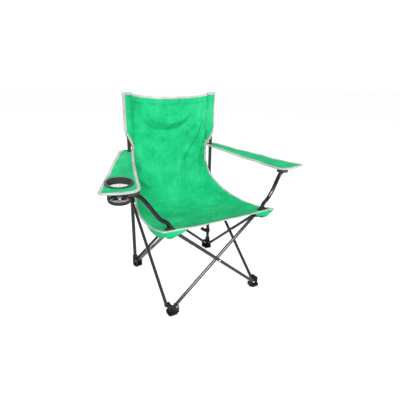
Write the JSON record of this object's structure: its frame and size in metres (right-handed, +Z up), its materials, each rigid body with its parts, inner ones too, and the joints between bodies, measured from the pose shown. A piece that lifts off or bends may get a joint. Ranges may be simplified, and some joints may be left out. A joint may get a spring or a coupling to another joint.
{
  "type": "folding camp chair",
  "caption": "Folding camp chair with a crossed-tube steel frame, a fabric sling seat and back, fabric arm straps and a mesh cup holder in one arm.",
  "frame": {"origin": "on the ground, at the middle of the box round the open chair", "axes": "+Z is up, the sitter faces -Y and +X is to the right as seen from the front"},
  "size_m": [0.884, 0.4758, 0.8],
  "materials": {
    "tube_paint": "gloss black powder coat",
    "black_plastic": "moulded black",
    "rivet_steel": "zinc plated",
    "green_fabric": "woven polyester, bright green, pale grey binding",
    "cup_mesh": "open grey mesh",
    "tie_webbing": "dark webbing"
  },
  "bodies": {
    "rear_left_corner": {"foot_rear_left": "black_plastic", "back_pole_left": "tube_paint", "pole_cap_left": "black_plastic", "sling_back": "green_fabric", "rivet_rear_left_low_x": "rivet_steel", "rivet_rear_left_low_y": "rivet_steel"},
    "rear_tube_from_left": {"leg_tube_rear_from_left": "tube_paint", "rivet_rear_crossing": "rivet_steel"},
    "rear_tube_from_right": {"leg_tube_rear_from_right": "tube_paint"},
    "rear_right_corner": {"foot_rear_right": "black_plastic", "back_pole_right": "tube_paint", "pole_cap_right": "black_plastic", "tie_strap": "tie_webbing", "rivet_rear_right_low_x": "rivet_steel", "rivet_rear_right_low_y": "rivet_steel"},
    "slider_right": {"slider_right": "black_plastic", "rivet_rear_right_high_x": "rivet_steel", "rivet_rear_right_high_y": "rivet_steel"},
    "slider_left": {"slider_left": "black_plastic", "rivet_rear_left_high_x": "rivet_steel", "rivet_rear_left_high_y": "rivet_steel"},
    "left_tube_from_rear": {"leg_tube_left_from_rear": "tube_paint", "rivet_left_crossing": "rivet_steel"},
    "left_tube_from_front": {"leg_tube_left_from_front": "tube_paint"},
    "front_left_foot": {"foot_front_left": "black_plastic", "rivet_front_left_low_x": "rivet_steel", "rivet_front_left_low_y": "rivet_steel"},
    "left_arm_post": {"front_bracket_left": "black_plastic", "arm_post_left": "tube_paint", "arm_bracket_left": "black_plastic", "rivet_front_left_high_x": "rivet_steel", "rivet_front_left_high_y": "rivet_steel"},
    "right_tube_from_rear": {"leg_tube_right_from_rear": "tube_paint", "rivet_right_crossing": "rivet_steel"},
    "right_tube_from_front": {"leg_tube_right_from_front": "tube_paint"},
    "front_right_foot": {"foot_front_right": "black_plastic", "rivet_front_right_low_x": "rivet_steel", "rivet_front_right_low_y": "rivet_steel"},
    "right_arm_post": {"front_bracket_right": "black_plastic", "arm_post_right": "tube_paint", "arm_bracket_right": "black_plastic", "rivet_front_right_high_x": "rivet_steel", "rivet_front_right_high_y": "rivet_steel"},
    "front_tube_from_left": {"leg_tube_front_from_left": "tube_paint"},
    "front_tube_from_right": {"leg_tube_front_from_right": "tube_paint", "rivet_front_crossing": "rivet_steel"},
    "left_arm": {"arm_strap_front_left": "green_fabric", "arm_strap_rear_left": "green_fabric", "cup_ring": "black_plastic", "cup_mesh": "cup_mesh", "cup_hoop": "black_plastic"},
    "right_arm": {"arm_strap_front_right": "green_fabric", "arm_strap_rear_right": "green_fabric"},
    "seat_rear": {"sling_seat_rear": "green_fabric"},
    "seat_front": {"sling_seat_front": "green_fabric"}
  },
  "joints": [
    {"name": "chair_fold", "type": "hinge", "parent": "rear_left_corner", "child": "rear_tube_from_left", "pos_m": [-0.184, 0.2165, 0.03], "axis": [0, -1, 0], "range_deg": [0, 43.27]},
    {"name": "rear_crossing", "type": "hinge", "parent": "rear_tube_from_left", "child": "rear_tube_from_right", "pos_m": [0, 0.208, 0.1875], "axis": [0, 1, 0], "range_deg": [0, 86.54], "deforming": ["sling_back"]},
    {"name": "rear_right_foot_pivot", "type": "hinge", "parent": "rear_tube_from_right", "child": "rear_right_corner", "pos_m": [0.184, 0.1995, 0.03], "axis": [0, -1, 0], "range_deg": [0, 43.27]},
    {"name": "slider_right_pivot", "type": "hinge", "parent": "rear_tube_from_left", "child": "slider_right", "pos_m": [0.184, 0.2165, 0.345], "axis": [0, 1, 0], "range_deg": [0, 43.27]},
    {"name": "slider_left_pivot", "type": "hinge", "parent": "rear_tube_from_right", "child": "slider_left", "pos_m": [-0.184, 0.1995, 0.345], "axis": [0, -1, 0], "range_deg": [0, 43.27]},
    {"name": "left_side_fold", "type": "hinge", "parent": "rear_left_corner", "child": "left_tube_from_rear", "pos_m": [-0.1995, 0.184, 0.03], "axis": [-1, 0, 0], "range_deg": [0, 43.27]},
    {"name": "left_crossing", "type": "hinge", "parent": "left_tube_from_rear", "child": "left_tube_from_front", "pos_m": [-0.208, 0, 0.1875], "axis": [1, 0, 0], "range_deg": [0, 86.54]},
    {"name": "front_left_foot_pivot", "type": "hinge", "parent": "left_tube_from_front", "child": "front_left_foot", "pos_m": [-0.2165, -0.184, 0.03], "axis": [-1, 0, 0], "range_deg": [0, 43.27]},
    {"name": "left_bracket_pivot", "type": "hinge", "parent": "left_tube_from_rear", "child": "left_arm_post", "pos_m": [-0.1995, -0.184, 0.345], "axis": [1, 0, 0], "range_deg": [0, 43.27]},
    {"name": "right_side_fold", "type": "hinge", "parent": "rear_right_corner", "child": "right_tube_from_rear", "pos_m": [0.2165, 0.184, 0.03], "axis": [-1, 0, 0], "range_deg": [0, 43.27]},
    {"name": "right_crossing", "type": "hinge", "parent": "right_tube_from_rear", "child": "right_tube_from_front", "pos_m": [0.208, 0, 0.1875], "axis": [1, 0, 0], "range_deg": [0, 86.54]},
    {"name": "front_right_foot_pivot", "type": "hinge", "parent": "right_tube_from_front", "child": "front_right_foot", "pos_m": [0.1995, -0.184, 0.03], "axis": [-1, 0, 0], "range_deg": [0, 43.27]},
    {"name": "right_bracket_pivot", "type": "hinge", "parent": "right_tube_from_rear", "child": "right_arm_post", "pos_m": [0.2165, -0.184, 0.345], "axis": [1, 0, 0], "range_deg": [0, 43.27]},
    {"name": "front_side_fold", "type": "hinge", "parent": "front_left_foot", "child": "front_tube_from_left", "pos_m": [-0.184, -0.1995, 0.03], "axis": [0, -1, 0], "range_deg": [0, 43.27]},
    {"name": "front_crossing", "type": "hinge", "parent": "front_tube_from_left", "child": "front_tube_from_right", "pos_m": [0, -0.208, 0.1875], "axis": [0, 1, 0], "range_deg": [0, 86.54]},
    {"name": "left_arm_pivot", "type": "hinge", "parent": "left_arm_post", "child": "left_arm", "pos_m": [-0.314, -0.182, 0.5], "axis": [-0.7656, 0.3, -0.569], "range_deg": [0, 60.3], "deforming": ["arm_strap_front_left", "arm_strap_rear_left"]},
    {"name": "right_arm_pivot", "type": "hinge", "parent": "right_arm_post", "child": "right_arm", "pos_m": [0.314, -0.182, 0.5], "axis": [-0.7656, -0.3, 0.569], "range_deg": [0, 60.3], "deforming": ["arm_strap_front_right", "arm_strap_rear_right"]},
    {"name": "seat_rear_fold", "type": "hinge", "parent": "rear_left_corner", "child": "seat_rear", "pos_m": [0, 0.192, 0.376], "axis": [1, 0, 0], "range_deg": [0, 57.85], "deforming": ["sling_seat_rear"]},
    {"name": "seat_front_fold", "type": "hinge", "parent": "seat_rear", "child": "seat_front", "pos_m": [0, 0.07, 0.316], "axis": [-1, 0, 0], "range_deg": [0, 121.73], "deforming": ["sling_seat_front"]}
  ],
  "couplings": [
    {"joint": "rear_crossing", "follows": "chair_fold", "ratio": 2},
    {"joint": "rear_right_foot_pivot", "follows": "chair_fold", "ratio": 1},
    {"joint": "slider_right_pivot", "follows": "chair_fold", "ratio": 1},
    {"joint": "slider_left_pivot", "follows": "chair_fold", "ratio": 1},
    {"joint": "left_side_fold", "follows": "chair_fold", "ratio": 1},
    {"joint": "left_crossing", "follows": "chair_fold", "ratio": 2},
    {"joint": "front_left_foot_pivot", "follows": "chair_fold", "ratio": 1},
    {"joint": "left_bracket_pivot", "follows": "chair_fold", "ratio": 1},
    {"joint": "right_side_fold", "follows": "chair_fold", "ratio": 1},
    {"joint": "right_crossing", "follows": "chair_fold", "ratio": 2},
    {"joint": "front_right_foot_pivot", "follows": "chair_fold", "ratio": 1},
    {"joint": "right_bracket_pivot", "follows": "chair_fold", "ratio": 1},
    {"joint": "front_side_fold", "follows": "chair_fold", "ratio": 1},
    {"joint": "front_crossing", "follows": "chair_fold", "ratio": 2},
    {"joint": "left_arm_pivot", "follows": "chair_fold", "ratio": 1.3936},
    {"joint": "right_arm_pivot", "follows": "chair_fold", "ratio": 1.3936},
    {"joint": "seat_rear_fold", "follows": "chair_fold", "ratio": 1.337},
    {"joint": "seat_front_fold", "follows": "chair_fold", "ratio": 2.8133}
  ]
}
